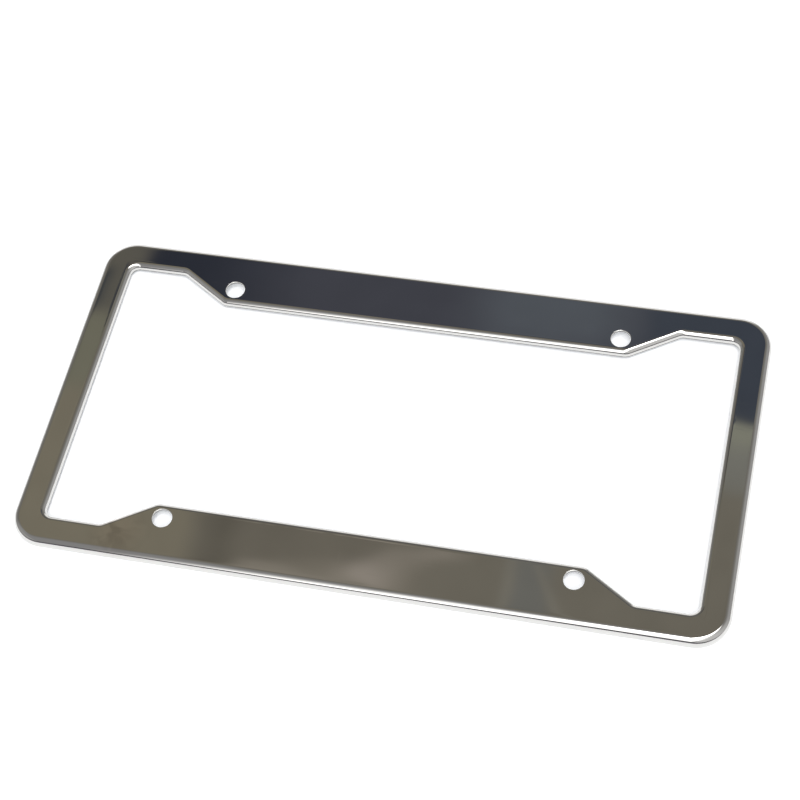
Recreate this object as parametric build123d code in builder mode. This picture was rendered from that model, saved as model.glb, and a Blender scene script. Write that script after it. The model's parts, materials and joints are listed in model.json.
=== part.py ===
from math import atan2, degrees
import os

from build123d import *

# A number plate holder pressed from one sheet of stainless steel. It lies face up on
# the rim of its outer flange: X runs along its length, Y across it and Z out of its face.

# Overall size
frame_length = 309.0
frame_width = 160.8
frame_depth = 4.5
corner_radius = 15.0

# Sheet, and the bend between the face and each flange, measured on the outside
sheet_thickness = 1.2
outer_bend_radius = 3.1
window_bend_radius = 2.5

# The flange round the window is shorter than the outer one by this much
window_rim_rise = 1.3

# Screw holes, on the usual spacing of a plate's four corners
hole_spacing_x = 177.8
hole_spacing_y = 120.65
hole_diameter = 8.7
hole_edge_chamfer = 0.25

# Window: the bars around it, and the two tabs that widen them at the screw holes.
# A narrow land stays flat between each hole and the bend at the tab's edge.
bar_width = 13.7
hole_land = 0.4
tab_end_margin = 3.9
tab_slant_run = 22.2
window_corner_radius = 4.0
tab_corner_radius = 6.0
tab_foot_radius = 4.0

window_length = frame_length - 2 * bar_width
window_width = frame_width - 2 * bar_width
tab_edge_margin = hole_diameter / 2 + hole_edge_chamfer + hole_land + window_bend_radius
tab_depth = window_width / 2 - hole_spacing_y / 2 + tab_edge_margin
tab_foot_length = hole_spacing_x + 2 * tab_end_margin + 2 * tab_slant_run
tab_slant_angle = degrees(atan2(tab_depth, tab_slant_run))

with BuildPart() as plate_frame:
    # The full depth of the frame, as a block with rounded corners
    with BuildSketch():
        RectangleRounded(frame_length, frame_width, corner_radius)
    extrude(amount=frame_depth)

    # The window, narrowed along both long bars by a tab with slanted ends
    with BuildSketch() as window:
        Rectangle(window_length, window_width)
        with PolarLocations(window_width / 2, 2, start_angle=90):
            Trapezoid(
                tab_foot_length,
                tab_depth,
                tab_slant_angle,
                rotation=90,
                align=(Align.CENTER, Align.MIN),
                mode=Mode.SUBTRACT,
            )
        fillet(window.vertices().group_by(SortBy.DISTANCE)[-1], window_corner_radius)
        fillet(window.vertices().group_by(SortBy.DISTANCE)[1], tab_foot_radius)
        fillet(window.vertices().group_by(SortBy.DISTANCE)[0], tab_corner_radius)
    extrude(amount=frame_depth, mode=Mode.SUBTRACT)

    # Both flanges turn down from the face in a round bend
    face = plate_frame.faces().sort_by(Axis.Z)[-1]
    fillet(face.outer_wire().edges(), outer_bend_radius)
    face = plate_frame.faces().sort_by(Axis.Z)[-1]
    fillet(face.inner_wires()[0].edges(), window_bend_radius)

    # The sheet: open at the back and equally thick all over
    offset(amount=-sheet_thickness, openings=plate_frame.faces().sort_by(Axis.Z)[0])

    # The flange round the window, trimmed so that its rim stays clear of what the frame lies on
    with BuildSketch():
        offset(window.sketch, amount=2 * sheet_thickness)
    extrude(amount=window_rim_rise, mode=Mode.SUBTRACT)

    # Punched screw holes, with the sharp edges at the face taken off
    with GridLocations(hole_spacing_x, hole_spacing_y, 2, 2):
        Hole(hole_diameter / 2)
    hole_edges = plate_frame.edges().filter_by(lambda edge: edge.is_closed)
    chamfer(hole_edges.group_by(Axis.Z)[-1], hole_edge_chamfer)

os.makedirs("parts", exist_ok=True)
plate_frame.part.label = "plate_frame"
export_step(plate_frame.part, "parts/plate_frame.step")
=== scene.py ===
import json
from math import pi, radians

import bpy
from mathutils import Matrix, Vector


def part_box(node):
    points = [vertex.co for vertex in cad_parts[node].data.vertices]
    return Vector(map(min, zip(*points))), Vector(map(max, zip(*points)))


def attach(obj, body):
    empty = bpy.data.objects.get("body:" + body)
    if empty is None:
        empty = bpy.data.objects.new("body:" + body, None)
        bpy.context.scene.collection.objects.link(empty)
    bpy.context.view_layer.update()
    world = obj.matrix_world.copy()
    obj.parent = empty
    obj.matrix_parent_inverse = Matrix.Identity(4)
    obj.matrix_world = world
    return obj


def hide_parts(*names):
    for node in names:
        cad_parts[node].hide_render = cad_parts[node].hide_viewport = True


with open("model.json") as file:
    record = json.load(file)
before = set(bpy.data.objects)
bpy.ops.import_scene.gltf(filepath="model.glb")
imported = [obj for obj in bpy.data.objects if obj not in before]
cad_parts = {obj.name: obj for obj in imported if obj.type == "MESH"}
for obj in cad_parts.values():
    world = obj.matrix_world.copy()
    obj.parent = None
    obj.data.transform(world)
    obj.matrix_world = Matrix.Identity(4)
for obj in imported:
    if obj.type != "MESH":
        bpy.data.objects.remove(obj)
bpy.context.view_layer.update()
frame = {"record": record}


# The frame: one sheet of stainless steel, pressed so that a flange turns down round its outside, and a
# shorter one round its window. Two tabs with slanted ends widen the long bars where the screw holes
# are punched. The face and the flanges are mirror-polished, and the back keeps the mill's finish.

mm = 0.001
low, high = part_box("plate_frame")
frame_length, frame_width, frame_depth = high - low
screw_holes = next(m["dims"] for m in frame["record"]["mounts"] if m["kind"] == "bolt_pattern")
hole_spacing_x = screw_holes["spacing_x_mm"] * mm
hole_spacing_y = screw_holes["spacing_y_mm"] * mm
hole_radius = screw_holes["hole_r_mm"] * mm

sheet_thickness = 1.2 * mm
outer_bend_radius = 3.1 * mm
window_bend_radius = 2.5 * mm
window_rim_rise = 1.3 * mm
rim_radius = 0.2 * mm
punch_radius = 0.25 * mm
burr_radius = 0.1 * mm
hole_land = 0.4 * mm

outer_corner_radius = 15.0 * mm
bar_width = 13.7 * mm
tab_end_margin = 3.9 * mm
tab_slant_run = 22.2 * mm
window_corner_radius = 4.0 * mm
tab_corner_radius = 6.0 * mm
tab_foot_radius = 4.0 * mm

corner_steps = 16
bend_steps = 20
rim_steps = 4
hole_steps = 64
weld_reach = 0.001 * mm

# Marks round the section of the sheet, from its polished side to its back, which the finish follows
polished_side = 0.0
outer_rim_side = 0.1
# The cut side takes the dark cut colour, which is partly painted shade.
cut_and_shade_side = 0.6
back_side = 1.0

# Both outlines keep the metal on their left, so the same way of folding serves them both.
end_x = frame_length / 2 - bar_width
bar_y = frame_width / 2 - bar_width
tab_x = hole_spacing_x / 2 + tab_end_margin
foot_x = tab_x + tab_slant_run
tab_y = hole_spacing_y / 2 - hole_radius - punch_radius - hole_land - window_bend_radius
upper_edge = [
    (-end_x, bar_y, window_corner_radius),
    (-foot_x, bar_y, tab_foot_radius),
    (-tab_x, tab_y, tab_corner_radius),
    (tab_x, tab_y, tab_corner_radius),
    (foot_x, bar_y, tab_foot_radius),
    (end_x, bar_y, window_corner_radius),
]
outer_edge = [
    (frame_length / 2, -frame_width / 2, outer_corner_radius),
    (frame_length / 2, frame_width / 2, outer_corner_radius),
]
half_turn = [(1, 1), (-1, -1)]


def closed_outline(name, half):
    """A closed curve through half of its corners and the same corners turned through 180 degrees."""
    curve = bpy.data.curves.new(name, "CURVE")
    curve.dimensions = "3D"
    spline = curve.splines.new("POLY")
    spline.points.add(2 * len(half) - 1)
    spline.use_cyclic_u = True
    corners = [(x * sx, y * sy, radius) for sx, sy in half_turn for x, y, radius in half]
    for point, (x, y, radius) in zip(spline.points, corners):
        point.co = (x, y, frame_depth, 1)
        point.radius = radius
    return bpy.data.objects.new(name, curve)


outer_outline = closed_outline("outer_outline", outer_edge)
window_outline = closed_outline("window_outline", upper_edge)


def add(tree, kind, inputs=None, **settings):
    """A node with its settings, and with its inputs, by name or number, set or linked."""
    node = tree.nodes.new(kind)
    for name, value in settings.items():
        setattr(node, name, value)
    for name, value in (inputs or {}).items():
        if isinstance(value, bpy.types.NodeSocket):
            tree.links.new(value, node.inputs[name])
        else:
            node.inputs[name].default_value = value
    return node


def calc(tree, operation, *values):
    """One step of arithmetic on numbers or sockets."""
    return add(tree, "ShaderNodeMath", dict(enumerate(values)), operation=operation).outputs[0]


def by_index(tree, index, kind, values):
    """The value that each point of a curve takes, by its number."""
    switch = add(tree, "GeometryNodeIndexSwitch", {"Index": index}, data_type=kind)
    while len(switch.index_switch_items) < len(values):
        switch.index_switch_items.new()
    for number, value in enumerate(values):
        socket = switch.inputs[number + 1]
        if isinstance(value, bpy.types.NodeSocket):
            tree.links.new(value, socket)
        else:
            socket.default_value = value
    return switch.outputs[0]


def section_curve(tree, corners, radii, steps, sides):
    """A section of the sheet: x points out of the metal and y down from the face, and each corner is
    marked with its side of the sheet."""
    index = add(tree, "GeometryNodeInputIndex").outputs[0]
    line = add(tree, "GeometryNodeMeshLine", {"Count": len(corners)}).outputs[0]
    curve = add(tree, "GeometryNodeMeshToCurve", {"Mesh": line}).outputs[0]
    places = [add(tree, "ShaderNodeCombineXYZ", {0: x, 1: y}).outputs[0] for x, y in corners]
    placed = add(
        tree,
        "GeometryNodeSetPosition",
        {"Geometry": curve, "Position": by_index(tree, index, "VECTOR", places)},
    ).outputs[0]
    marked = add(
        tree,
        "GeometryNodeStoreNamedAttribute",
        {"Geometry": placed, "Name": "side", "Value": by_index(tree, index, "FLOAT", sides)},
    ).outputs[0]
    return add(
        tree,
        "GeometryNodeFilletCurve",
        {
            "Curve": marked,
            "Count": by_index(tree, index, "INT", steps),
            "Radius": by_index(tree, index, "FLOAT", radii),
            "Limit Radius": True,
        },
        mode="POLY",
    ).outputs[0]


polished = bpy.data.materials.new("mirror_steel")
pressing = bpy.data.node_groups.new("frame_pressing", "GeometryNodeTree")
sockets = pressing.interface
sockets.new_socket("Geometry", in_out="OUTPUT", socket_type="NodeSocketGeometry")
sizes = {
    "Outer Outline": outer_outline,
    "Window Outline": window_outline,
    "Face Height": frame_depth,
    "Window Rim Rise": window_rim_rise,
    "Sheet Thickness": sheet_thickness,
    "Outer Bend Radius": outer_bend_radius,
    "Window Bend Radius": window_bend_radius,
    "Rim Radius": rim_radius,
    "Hole Radius": hole_radius,
    "Punch Radius": punch_radius,
    "Burr Radius": burr_radius,
    "Hole Spacing X": hole_spacing_x,
    "Hole Spacing Y": hole_spacing_y,
    "Material": polished,
}
socket_kinds = {
    "Outer Outline": "NodeSocketObject",
    "Window Outline": "NodeSocketObject",
    "Material": "NodeSocketMaterial",
}
identifiers = {
    name: sockets.new_socket(
        name, in_out="INPUT", socket_type=socket_kinds.get(name, "NodeSocketFloat")
    ).identifier
    for name in sizes
}
given = add(pressing, "NodeGroupInput").outputs
result = add(pressing, "NodeGroupOutput")

thickness_in = calc(pressing, "MULTIPLY", given["Sheet Thickness"], -1)


def flange(outline, bend, depth, rim_side):
    """A flange along an outline: from the face round the bend to the rim, and back up the inside."""
    bend_in = calc(pressing, "MULTIPLY", bend, -1)
    inner_bend = calc(pressing, "SUBTRACT", bend, given["Sheet Thickness"])
    section = section_curve(
        pressing,
        corners=[
            (bend_in, 0),
            (0, 0),
            (0, depth),
            (thickness_in, depth),
            (thickness_in, given["Sheet Thickness"]),
            (bend_in, given["Sheet Thickness"]),
        ],
        radii=[0, bend, given["Rim Radius"], given["Rim Radius"], inner_bend, 0],
        steps=[1, bend_steps, rim_steps, rim_steps, bend_steps, 1],
        sides=[polished_side, polished_side, rim_side, cut_and_shade_side, back_side, back_side],
    )
    rounded = add(
        pressing,
        "GeometryNodeFilletCurve",
        {
            "Curve": add(pressing, "GeometryNodeObjectInfo", {"Object": outline}).outputs["Geometry"],
            "Count": corner_steps,
            "Radius": add(pressing, "GeometryNodeInputRadius").outputs[0],
        },
        mode="POLY",
    ).outputs[0]
    even = add(pressing, "GeometryNodeSetCurveRadius", {"Curve": rounded, "Radius": 1.0}).outputs[0]
    level = add(pressing, "GeometryNodeSetCurveNormal", {"Curve": even}, mode="Z_UP").outputs[0]
    return add(
        pressing, "GeometryNodeCurveToMesh", {"Curve": level, "Profile Curve": section}
    ).outputs[0]


outer_flange = flange(
    given["Outer Outline"], given["Outer Bend Radius"], given["Face Height"], outer_rim_side
)
window_depth = calc(pressing, "SUBTRACT", given["Face Height"], given["Window Rim Rise"])
# The window's rim is marked as cut, so its dark colour paints the shade of the gap beneath it.
window_flange = flange(given["Window Outline"], given["Window Bend Radius"], window_depth, cut_and_shade_side)

# The edge of a screw hole is rolled over at the face and torn at the back.
punch_in = calc(pressing, "MULTIPLY", given["Punch Radius"], -1)
burr_in = calc(pressing, "MULTIPLY", given["Burr Radius"], -1)
hole_section = section_curve(
    pressing,
    corners=[
        (punch_in, 0),
        (0, 0),
        (0, given["Sheet Thickness"]),
        (burr_in, given["Sheet Thickness"]),
    ],
    radii=[0, given["Punch Radius"], given["Burr Radius"], 0],
    steps=[1, rim_steps, rim_steps, 1],
    sides=[polished_side, polished_side, cut_and_shade_side, back_side],
)

hole_grid = add(
    pressing,
    "GeometryNodeMeshGrid",
    {
        "Size X": given["Hole Spacing X"],
        "Size Y": given["Hole Spacing Y"],
        "Vertices X": 2,
        "Vertices Y": 2,
    },
).outputs[0]
circle = add(
    pressing,
    "GeometryNodeCurvePrimitiveCircle",
    {"Resolution": hole_steps, "Radius": given["Hole Radius"]},
).outputs[0]
clockwise = add(pressing, "GeometryNodeReverseCurve", {"Curve": circle}).outputs[0]
circles = add(
    pressing, "GeometryNodeInstanceOnPoints", {"Points": hole_grid, "Instance": clockwise}
).outputs[0]
loose_circles = add(pressing, "GeometryNodeRealizeInstances", {"Geometry": circles}).outputs[0]
face_offset = add(pressing, "ShaderNodeCombineXYZ", {2: given["Face Height"]}).outputs[0]
hole_paths = add(
    pressing, "GeometryNodeTransform", {"Geometry": loose_circles, "Translation": face_offset}
).outputs[0]
level_paths = add(
    pressing, "GeometryNodeSetCurveNormal", {"Curve": hole_paths}, mode="Z_UP"
).outputs[0]
hole_walls = add(
    pressing, "GeometryNodeCurveToMesh", {"Curve": level_paths, "Profile Curve": hole_section}
).outputs[0]
turned_edges = add(pressing, "GeometryNodeJoinGeometry")
for turned_edge in (outer_flange, window_flange, hole_walls):
    pressing.links.new(turned_edge, turned_edges.inputs[0])

# The flat of the sheet fills what lies between the open edges of these, on the face and on the back.
open_edge = add(
    pressing,
    "FunctionNodeCompare",
    {"A": add(pressing, "GeometryNodeInputMeshEdgeNeighbors").outputs[0], "B": 1},
    data_type="INT",
    operation="EQUAL",
).outputs[0]
open_loops = add(
    pressing,
    "GeometryNodeMeshToCurve",
    {"Mesh": turned_edges.outputs[0], "Selection": open_edge},
).outputs[0]
position = add(pressing, "GeometryNodeInputPosition").outputs[0]
height = add(pressing, "ShaderNodeSeparateXYZ", {0: position}).outputs[2]
half_sheet = calc(pressing, "MULTIPLY", given["Sheet Thickness"], 0.5)
mid_height = calc(pressing, "SUBTRACT", given["Face Height"], half_sheet)
by_height = add(
    pressing,
    "GeometryNodeSeparateGeometry",
    {"Geometry": open_loops, "Selection": calc(pressing, "GREATER_THAN", height, mid_height)},
    domain="CURVE",
)


def flat(loops, offset, mark):
    """One flat of the sheet: its open loops filled, raised to their height and marked."""
    filled = add(pressing, "GeometryNodeFillCurve", {"Curve": loops}, mode="TRIANGLES").outputs[0]
    raised = add(
        pressing, "GeometryNodeTransform", {"Geometry": filled, "Translation": offset}
    ).outputs[0]
    return add(
        pressing,
        "GeometryNodeStoreNamedAttribute",
        {"Geometry": raised, "Name": "side", "Value": mark},
    ).outputs[0]


face_flat = flat(by_height.outputs["Selection"], face_offset, polished_side)
back_height = calc(pressing, "SUBTRACT", given["Face Height"], given["Sheet Thickness"])
back_offset = add(pressing, "ShaderNodeCombineXYZ", {2: back_height}).outputs[0]
inner_flat = flat(by_height.outputs["Inverted"], back_offset, back_side)
back_flat = add(pressing, "GeometryNodeFlipFaces", {"Mesh": inner_flat}).outputs[0]

whole = add(pressing, "GeometryNodeJoinGeometry")
for surface in (turned_edges.outputs[0], face_flat, back_flat):
    pressing.links.new(surface, whole.inputs[0])
welded = add(
    pressing,
    "GeometryNodeMergeByDistance",
    {"Geometry": whole.outputs[0], "Distance": weld_reach},
).outputs[0]
smooth = add(pressing, "GeometryNodeSetShadeSmooth", {"Geometry": welded}).outputs[0]
realized = add(pressing, "GeometryNodeRealizeInstances", {"Geometry": smooth}).outputs[0]
finished = add(
    pressing, "GeometryNodeSetMaterial", {"Geometry": realized, "Material": given["Material"]}
).outputs[0]
pressing.links.new(finished, result.inputs[0])

plate_frame = bpy.data.objects.new("polished_frame", bpy.data.meshes.new("polished_frame"))
bpy.context.scene.collection.objects.link(plate_frame)
press = plate_frame.modifiers.new("pressing", "NODES")
press.node_group = pressing
for name, value in sizes.items():
    press[identifiers[name]] = value
evaluated = plate_frame.evaluated_get(bpy.context.evaluated_depsgraph_get())
plate_frame.data = bpy.data.meshes.new_from_object(evaluated)
plate_frame.modifiers.clear()
for outline in (outer_outline, window_outline):
    bpy.data.objects.remove(outline)

# Large faces lead the shading, and every flat is shaded truly flat, so that it mirrors without a warp.
flat_cosine = 0.9999
leads = [Vector() for vertex in plate_frame.data.vertices]
for polygon in plate_frame.data.polygons:
    for vertex in polygon.vertices:
        leads[vertex] += polygon.normal * polygon.area
for polygon in plate_frame.data.polygons:
    if abs(polygon.normal.z) > flat_cosine:
        for vertex in polygon.vertices:
            leads[vertex] = Vector((0, 0, polygon.normal.z))
plate_frame.data.normals_split_custom_set_from_vertices([lead.normalized() for lead in leads])

# The finish follows the side of the sheet: mirror polish on the face and the flanges, dull torn metal on
# the cut rims and in the holes, painted far darker than bare steel as painted shade for the dark gap
# under the window's rim, and the grain that the rolling mill left on the back.
polish_colour = (0.62, 0.61, 0.59, 1)
# The cut colour is partly painted shade: much darker than dull torn steel, it draws the shadowed gap
# under the window's rim.
cut_and_shade_colour = (0.14, 0.137, 0.13, 1)
mill_colours = ((0.50, 0.495, 0.48, 1), (0.58, 0.575, 0.56, 1))
cut_and_shade_start = 0.22
cut_and_shade_softness = 0.06
mill_start = 0.75
mill_softness = 0.1


def rise(tree, value, start, softness):
    """0 below start and 1 above it, over a soft step."""
    return add(
        tree,
        "ShaderNodeMapRange",
        {"Value": value, "From Min": start - softness, "From Max": start + softness},
        interpolation_type="SMOOTHSTEP",
    ).outputs[0]


def blend(tree, share, first, second):
    """The first colour where share is 0 and the second where it is 1."""
    return add(tree, "ShaderNodeMix", {0: share, 6: first, 7: second}, data_type="RGBA").outputs[2]


def stretched_noise(tree, place, stretch, detail):
    """Noise from 0 to 1, with a number of grains in each unit of length along each axis."""
    grains = add(tree, "ShaderNodeMapping", {"Vector": place, "Scale": stretch}).outputs[0]
    return add(tree, "ShaderNodeTexNoise", {"Vector": grains, "Scale": 1.0, "Detail": detail}).outputs[0]


polished.use_nodes = True
steel = polished.node_tree
side = add(steel, "ShaderNodeAttribute", attribute_name="side").outputs["Fac"]
place = add(steel, "ShaderNodeTexCoord").outputs["Object"]
rolled = rise(steel, side, mill_start, mill_softness)
# Where the sheet is cut, this mask lays on torn metal and painted shade together.
torn_and_shaded = calc(steel, "SUBTRACT", rise(steel, side, cut_and_shade_start, cut_and_shade_softness), rolled)

# The face droops a little towards each bend, by the distance inward from the flange's outline.
droop_lead = 0.7 * mm
droop_slope = 0.006
from_middle = add(steel, "ShaderNodeSeparateXYZ", {0: place}).outputs
from_x = calc(steel, "ABSOLUTE", from_middle["X"])
from_y = calc(steel, "ABSOLUTE", from_middle["Y"])
window_y = add(
    steel,
    "ShaderNodeMapRange",
    {"Value": from_x, "From Min": tab_x, "From Max": foot_x, "To Min": tab_y, "To Max": bar_y},
).outputs[0]
to_outside = calc(
    steel,
    "SMOOTH_MIN",
    calc(steel, "SUBTRACT", frame_length / 2, from_x),
    calc(steel, "SUBTRACT", frame_width / 2, from_y),
    outer_corner_radius / 2,
)
to_window = calc(
    steel,
    "SMOOTH_MAX",
    calc(steel, "SUBTRACT", from_x, end_x),
    calc(steel, "SUBTRACT", from_y, window_y),
    window_corner_radius,
)
droops = []
for inward, bend in ((to_outside, outer_bend_radius), (to_window, window_bend_radius)):
    beyond = calc(steel, "SUBTRACT", bend + droop_lead, inward)
    droops.append(calc(steel, "SMOOTH_MAX", beyond, 0.0, droop_lead))
droop = calc(steel, "MULTIPLY", calc(steel, "ADD", *droops), -droop_slope)

# Pressing leaves slow waves in the face and small ripples by the window's bend.
wave_height = 0.07 * mm
wave_grains = (22, 22, 22)
ripple_height = 0.012 * mm
ripple_grains = (140, 140, 140)
ripple_start = droop_lead / 4
waves = stretched_noise(steel, place, wave_grains, detail=1.0)
by_window = rise(steel, droops[1], ripple_start, ripple_start)
all_ripples = stretched_noise(steel, place, ripple_grains, detail=1.0)
ripples = calc(steel, "MULTIPLY", all_ripples, by_window)

# Wiping leaves faint smears, and hairlines in two sets, each with its slope in radians and its grains.
smear_grains = (30, 60, 60)
wiping_strokes = ((0.06, (45, 1500, 45)), (1.45, (60, 1300, 60)))
hairline_depth = 0.0002 * mm
hairline_start = 0.8
hairline_softness = 0.05
smears = stretched_noise(steel, place, smear_grains, detail=3.0)
hairline_sets = []
for slope, stroke_grains in wiping_strokes:
    turned = add(
        steel, "ShaderNodeVectorRotate", {"Vector": place, "Angle": slope}, rotation_type="Z_AXIS"
    ).outputs[0]
    strokes = stretched_noise(steel, turned, stroke_grains, detail=0.0)
    hairline_sets.append(rise(steel, strokes, hairline_start, hairline_softness))
hairlines = calc(steel, "MAXIMUM", *hairline_sets)

# A rubbed smudge by the lower left tab dulls the polish.
smudge_place = (-106 * mm, -69 * mm, frame_depth)
smudge_reach = 9.0 * mm
smudge_softness = 0.8 * smudge_reach
smudge_colours = ((0.53, 0.5, 0.475, 1), (0.68, 0.645, 0.61, 1))
swirl_grains = 100.0
swirl_twist = 0.7
swirl_start = 0.5
swirl_softness = 0.12
from_smudge = add(
    steel, "ShaderNodeVectorMath", {0: place, 1: smudge_place}, operation="DISTANCE"
).outputs["Value"]
past_smudge = rise(steel, from_smudge, smudge_reach, smudge_softness)
near_smudge = calc(steel, "SUBTRACT", 1.0, past_smudge)
swirls = add(
    steel,
    "ShaderNodeTexNoise",
    {"Vector": place, "Scale": swirl_grains, "Detail": 2.0, "Distortion": swirl_twist},
).outputs[0]
smudge_colour = blend(steel, rise(steel, swirls, swirl_start, swirl_softness), *smudge_colours)

# All of this relief, with the mill's grain where the metal is bare, bends what the surface mirrors.
mill_grains = (20, 1500, 1500)
grain_height = 0.0015 * mm
grain = stretched_noise(steel, place, mill_grains, detail=3.0)
bare = calc(steel, "MAXIMUM", rolled, torn_and_shaded)
bare_grain = calc(steel, "MULTIPLY", grain, bare)
relief = calc(steel, "MULTIPLY_ADD", waves, wave_height, droop)
relief = calc(steel, "MULTIPLY_ADD", ripples, ripple_height, relief)
relief = calc(steel, "MULTIPLY_ADD", hairlines, -hairline_depth, relief)
relief = calc(steel, "MULTIPLY_ADD", bare_grain, grain_height, relief)
relief_normal = add(
    steel, "ShaderNodeBump", {"Height": relief, "Strength": 1.0, "Distance": 1.0}
).outputs[0]

# What each mark of use adds to the roughness of the clean polish, and the grain to that of bare metal
clean_roughness = 0.018
smear_roughness = 0.03
hairline_roughness = 0.02
smudge_roughness = 0.05
bare_roughness = 0.24
grain_roughness = 0.2
polish_roughness = calc(steel, "MULTIPLY_ADD", smears, smear_roughness, clean_roughness)
polish_roughness = calc(steel, "MULTIPLY_ADD", hairlines, hairline_roughness, polish_roughness)
polish_roughness = calc(steel, "MULTIPLY_ADD", near_smudge, smudge_roughness, polish_roughness)
mill_roughness = calc(steel, "MULTIPLY_ADD", grain, grain_roughness, bare_roughness)
steel_roughness = add(
    steel, "ShaderNodeMix", {"Factor": bare, "A": polish_roughness, "B": mill_roughness}
).outputs[0]

mill_colour = blend(steel, grain, *mill_colours)
rubbed_colour = blend(steel, near_smudge, polish_colour, smudge_colour)
sheet_colour = blend(steel, rolled, rubbed_colour, mill_colour)
steel_colour = blend(steel, torn_and_shaded, sheet_colour, cut_and_shade_colour)
steel_shader = steel.nodes["Principled BSDF"]
steel_shader.inputs["Metallic"].default_value = 1.0
steel.links.new(steel_colour, steel_shader.inputs["Base Color"])
steel.links.new(steel_roughness, steel_shader.inputs["Roughness"])
steel.links.new(relief_normal, steel_shader.inputs["Normal"])

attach(plate_frame, "root")
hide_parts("plate_frame")


# The floor: a wide sheet of white paper that the frame lies on. It glows a little to the camera and in
# the steel, so that it stays white in the light and still takes the frame's shadow.

floor_size = 6.0
paper_white = 0.9
seen_glow = 0.3
mirrored_glow = 0.48
glow_colour = (0.9, 0.94, 1, 1)
floor = bpy.data.objects.new("floor", bpy.data.meshes.new("floor"))
bpy.context.scene.collection.objects.link(floor)
floor_signs = ((-1, -1), (1, -1), (1, 1), (-1, 1))
floor_corners = [(x * floor_size / 2, y * floor_size / 2, 0) for x, y in floor_signs]
floor.data.from_pydata(floor_corners, [], [(0, 1, 2, 3)])
paper = bpy.data.materials.new("white_paper")
paper.use_nodes = True
paper_tree = paper.node_tree
paper_shader = paper_tree.nodes["Principled BSDF"]
paper_shader.inputs["Base Color"].default_value = (paper_white, paper_white, paper_white, 1)
paper_shader.inputs["Roughness"].default_value = 1.0
paper_shader.inputs["Specular IOR Level"].default_value = 0.0
paper_shader.inputs["Emission Color"].default_value = glow_colour
paper_ray = add(paper_tree, "ShaderNodeLightPath").outputs
camera_glow = calc(paper_tree, "MULTIPLY", paper_ray["Is Camera Ray"], seen_glow)
paper_glow = calc(paper_tree, "MULTIPLY_ADD", paper_ray["Is Glossy Ray"], mirrored_glow, camera_glow)
paper_tree.links.new(paper_glow, paper_shader.inputs["Emission Strength"])
floor.data.materials.append(paper)


# The studio: a dim ceiling that the face mirrors, with a broad soft light over the front right, a small
# bright one overhead and a dark screen along its far edge. The walls are white at the back and grey at
# the sides.

studio = bpy.data.worlds.new("studio")
studio.use_nodes = True
room = studio.node_tree
away = add(room, "ShaderNodeTexCoord").outputs["Generated"]
right, back, up = add(room, "ShaderNodeSeparateXYZ", {0: away}).outputs

# The ceiling hangs one unit above the face, and a direction near the horizon meets it far out.
lowest_climb = 0.02
climb = calc(room, "MAXIMUM", up, lowest_climb)
ceiling_x = calc(room, "DIVIDE", right, climb)
ceiling_y = calc(room, "DIVIDE", back, climb)

# Wall colours by the bearing in degrees, clockwise from the back of the frame
walls = {
    -180: (0.6, 0.6, 0.6),
    -120: (0.45, 0.45, 0.45),
    -75: (0.35, 0.35, 0.34),
    -56: (0.33, 0.33, 0.32),
    -44: (0.35, 0.34, 0.32),
    -38: (1.2, 1.2, 1.2),
    4: (1.2, 1.2, 1.2),
    12: (0.4, 0.4, 0.39),
    60: (0.44, 0.44, 0.44),
    110: (0.75, 0.75, 0.75),
    150: (0.8, 0.8, 0.8),
    180: (0.6, 0.6, 0.6),
}
bearing = calc(room, "ARCTAN2", right, back)
turn_share = calc(room, "MULTIPLY_ADD", bearing, 0.5 / pi, 0.5)
wall_ramp = add(room, "ShaderNodeValToRGB", {0: turn_share})
stops = wall_ramp.color_ramp.elements
for number, (degrees, wall_colour) in enumerate(walls.items()):
    stop_share = (degrees + 180) / 360
    stop = stops[number] if number < len(stops) else stops.new(stop_share)
    stop.position = stop_share
    stop.color = (*wall_colour, 1)
overhead = wall_ramp.outputs[0]


def hang(under, colour, x, y, soft, slant=0.0, lean=0.0):
    """A soft-edged panel laid over what the ceiling shows so far."""
    along = calc(room, "MULTIPLY_ADD", ceiling_y, -lean, ceiling_x)
    across = calc(room, "MULTIPLY_ADD", ceiling_x, -slant, ceiling_y)
    edges = []
    for value, span, softness in ((along, x, soft[0]), (across, y, soft[1])):
        edges.append(rise(room, value, span[0], softness))
        edges.append(calc(room, "SUBTRACT", 1.0, rise(room, value, span[1], softness)))
    mask = edges[0]
    for edge in edges[1:]:
        mask = calc(room, "MULTIPLY", mask, edge)
    return blend(room, mask, under, (*colour, 1))


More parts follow.
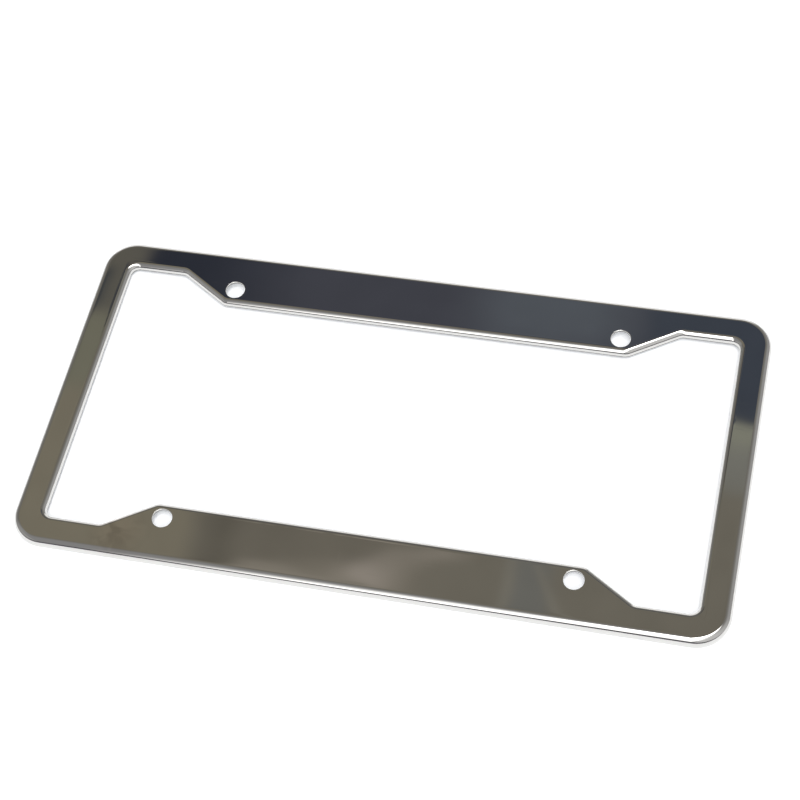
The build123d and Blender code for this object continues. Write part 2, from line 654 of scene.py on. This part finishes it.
# Each panel spans x, to the right, and y, to the back, with edges that are soft by so much. Its left and
# right edges run askew by lean, and its front and back edges by slant.
ceiling_left = -0.65
ceiling_right = 0.08
ceiling_back = 0.83
left_back = 0.64
middle_left = -0.335
middle_front = 0.44
warm_front = 0.4
warm_slant = 0.24
screen_left = -0.4235
screen_front = 0.62
far_front = -3.3
panels = {
    "right_slope": dict(colour=(0.215, 0.205, 0.185), x=(-2.0, 0.7), y=(0.2, 2.0), soft=(0.65, 0.2)),
    "ceiling": dict(
        colour=(0.215, 0.2, 0.165),
        x=(ceiling_left, ceiling_right),
        y=(-1.2, ceiling_back),
        soft=(0.012, 0.012),
    ),
    "front_ceiling": dict(
        colour=(0.33, 0.33, 0.335), x=(-1.2, 0.3), y=(far_front, 0.0), soft=(0.1, 0.4)
    ),
    "left_ceiling": dict(
        colour=(0.26, 0.237, 0.182),
        x=(ceiling_left, middle_left),
        y=(0.2, left_back),
        soft=(0.01, 0.02),
    ),
    "left_olive": dict(
        colour=(0.222, 0.218, 0.167),
        x=(ceiling_left, middle_left),
        y=(0.582, left_back),
        soft=(0.01, 0.008),
    ),
    "middle": dict(
        colour=(0.2, 0.184, 0.152),
        x=(middle_left, -0.22),
        y=(middle_front, ceiling_back),
        soft=(0.012, 0.01),
    ),
    "middle_edge": dict(
        colour=(0.158, 0.146, 0.12),
        x=(-0.333, -0.312),
        y=(middle_front, left_back),
        soft=(0.013, 0.02),
    ),
    "warm_side": dict(
        colour=(0.255, 0.233, 0.193),
        x=(-0.305, -0.2),
        y=(warm_front, 0.549),
        soft=(0.02, 0.006),
        slant=warm_slant,
    ),
    "warm_core": dict(
        colour=(0.44, 0.395, 0.35),
        x=(-0.245, -0.219),
        y=(warm_front, 0.5495),
        soft=(0.02, 0.005),
        slant=warm_slant,
    ),
    "warm_tip": dict(
        colour=(0.3, 0.272, 0.232),
        x=(-0.225, -0.178),
        y=(0.5425, 0.553),
        soft=(0.012, 0.005),
        slant=warm_slant,
    ),
    "warm_foot": dict(
        colour=(0.31, 0.283, 0.24), x=(-0.304, -0.225), y=(warm_front, 0.4803), soft=(0.01, 0.003)
    ),
    "cool_zone": dict(
        colour=(0.2, 0.2, 0.185), x=(-0.148, -0.124), y=(middle_front, 0.53), soft=(0.006, 0.02)
    ),
    "left_gleam": dict(
        colour=(0.25, 0.238, 0.203), x=(-0.1515, -0.1465), y=(middle_front, 0.53), soft=(0.003, 0.02)
    ),
    "right_gleam": dict(
        colour=(0.25, 0.238, 0.203),
        x=(0.1313, 0.1373),
        y=(middle_front, 0.51),
        soft=(0.003, 0.02),
        lean=-0.53,
    ),
    "pale_band": dict(
        colour=(0.25, 0.25, 0.225),
        x=(-0.12, ceiling_right),
        y=(0.575, screen_front),
        soft=(0.03, 0.008),
    ),
    "olive_beam": dict(
        colour=(0.3, 0.305, 0.25),
        x=(-0.12, ceiling_right),
        y=(0.6, screen_front),
        soft=(0.03, 0.008),
    ),
    "corner": dict(
        colour=(0.15, 0.143, 0.122),
        x=(ceiling_left, screen_left),
        y=(0.638, ceiling_back),
        soft=(0.007, 0.008),
    ),
    "corner_streak": dict(
        colour=(0.075, 0.08, 0.085), x=(ceiling_left, -0.442), y=(0.642, 0.674), soft=(0.004, 0.006)
    ),
    "screen": dict(
        colour=(0.036, 0.041, 0.058),
        x=(screen_left, ceiling_right),
        y=(screen_front, ceiling_back),
        soft=(0.007, 0.006),
    ),
    "screen_middle": dict(
        colour=(0.078, 0.082, 0.104),
        x=(-0.345, ceiling_right),
        y=(screen_front, ceiling_back),
        soft=(0.05, 0.006),
    ),
    "screen_right": dict(
        colour=(0.065, 0.077, 0.102),
        x=(-0.1, ceiling_right),
        y=(screen_front, ceiling_back),
        soft=(0.012, 0.006),
    ),
    "screen_sheen": dict(
        colour=(0.12, 0.135, 0.16), x=(-0.2, -0.11), y=(0.655, ceiling_back), soft=(0.03, 0.02)
    ),
    "front_gap": dict(colour=(0.1, 0.095, 0.115), x=(-40.0, 40.0), y=(-60.0, -3.0), soft=(2.0, 0.5)),
    "soft_light": dict(
        colour=(2.3, 2.3, 2.3), x=(0.02, 0.55), y=(far_front, -0.3), soft=(0.2, 0.4), lean=0.33
    ),
    "top_light": dict(
        colour=(9.0, 9.0, 9.0), x=(0.02, 0.26), y=(-0.5, 0.27), soft=(0.05, 0.1), lean=0.25
    ),
}
for panel in panels.values():
    overhead = hang(overhead, **panel)

# The room is faintly mottled, and plain white where the camera sees it past the floor.
mottle_grains = (40, 40, 40)
mottle_share = 0.24
mottle_lowest = 0.88
overhead_place = add(room, "ShaderNodeCombineXYZ", {0: ceiling_x, 1: ceiling_y}).outputs[0]
patches = stretched_noise(room, overhead_place, mottle_grains, detail=3.0)
mottle = calc(room, "MULTIPLY_ADD", patches, mottle_share, mottle_lowest)
mottled = add(room, "ShaderNodeVectorMath", {0: overhead, "Scale": mottle}, operation="SCALE").outputs[0]
room_ray = add(room, "ShaderNodeLightPath").outputs
room_colour = blend(room, room_ray["Is Camera Ray"], mottled, (1, 1, 1, 1))
room.links.new(room_colour, room.nodes["Background"].inputs["Color"])
bpy.context.scene.world = studio


# The camera: it looks down on the face from the front right, held a little askew. Its lens and sensor
# are in millimetres.

aim = Vector((9.5 * mm, 15.4 * mm, frame_depth))
distance = 857.7 * mm
azimuth = radians(20.19)
elevation = radians(57.19)
roll = radians(9.49)
lens_length = 88.39
sensor_width = 36.0
sideways_shift = -0.03
camera = bpy.data.objects.new("camera", bpy.data.cameras.new("camera"))
bpy.context.scene.collection.objects.link(camera)
bpy.context.scene.camera = camera
camera.data.lens = lens_length
camera.data.sensor_width = sensor_width
camera.data.shift_x = sideways_shift
turn = Matrix.Rotation(azimuth, 4, "Z") @ Matrix.Rotation(pi / 2 - elevation, 4, "X")
camera.matrix_world = (
    Matrix.Translation(aim) @ turn @ Matrix.Rotation(-roll, 4, "Z") @ Matrix.Translation((0, 0, distance))
)

bpy.context.scene.view_settings.view_transform = "Standard"
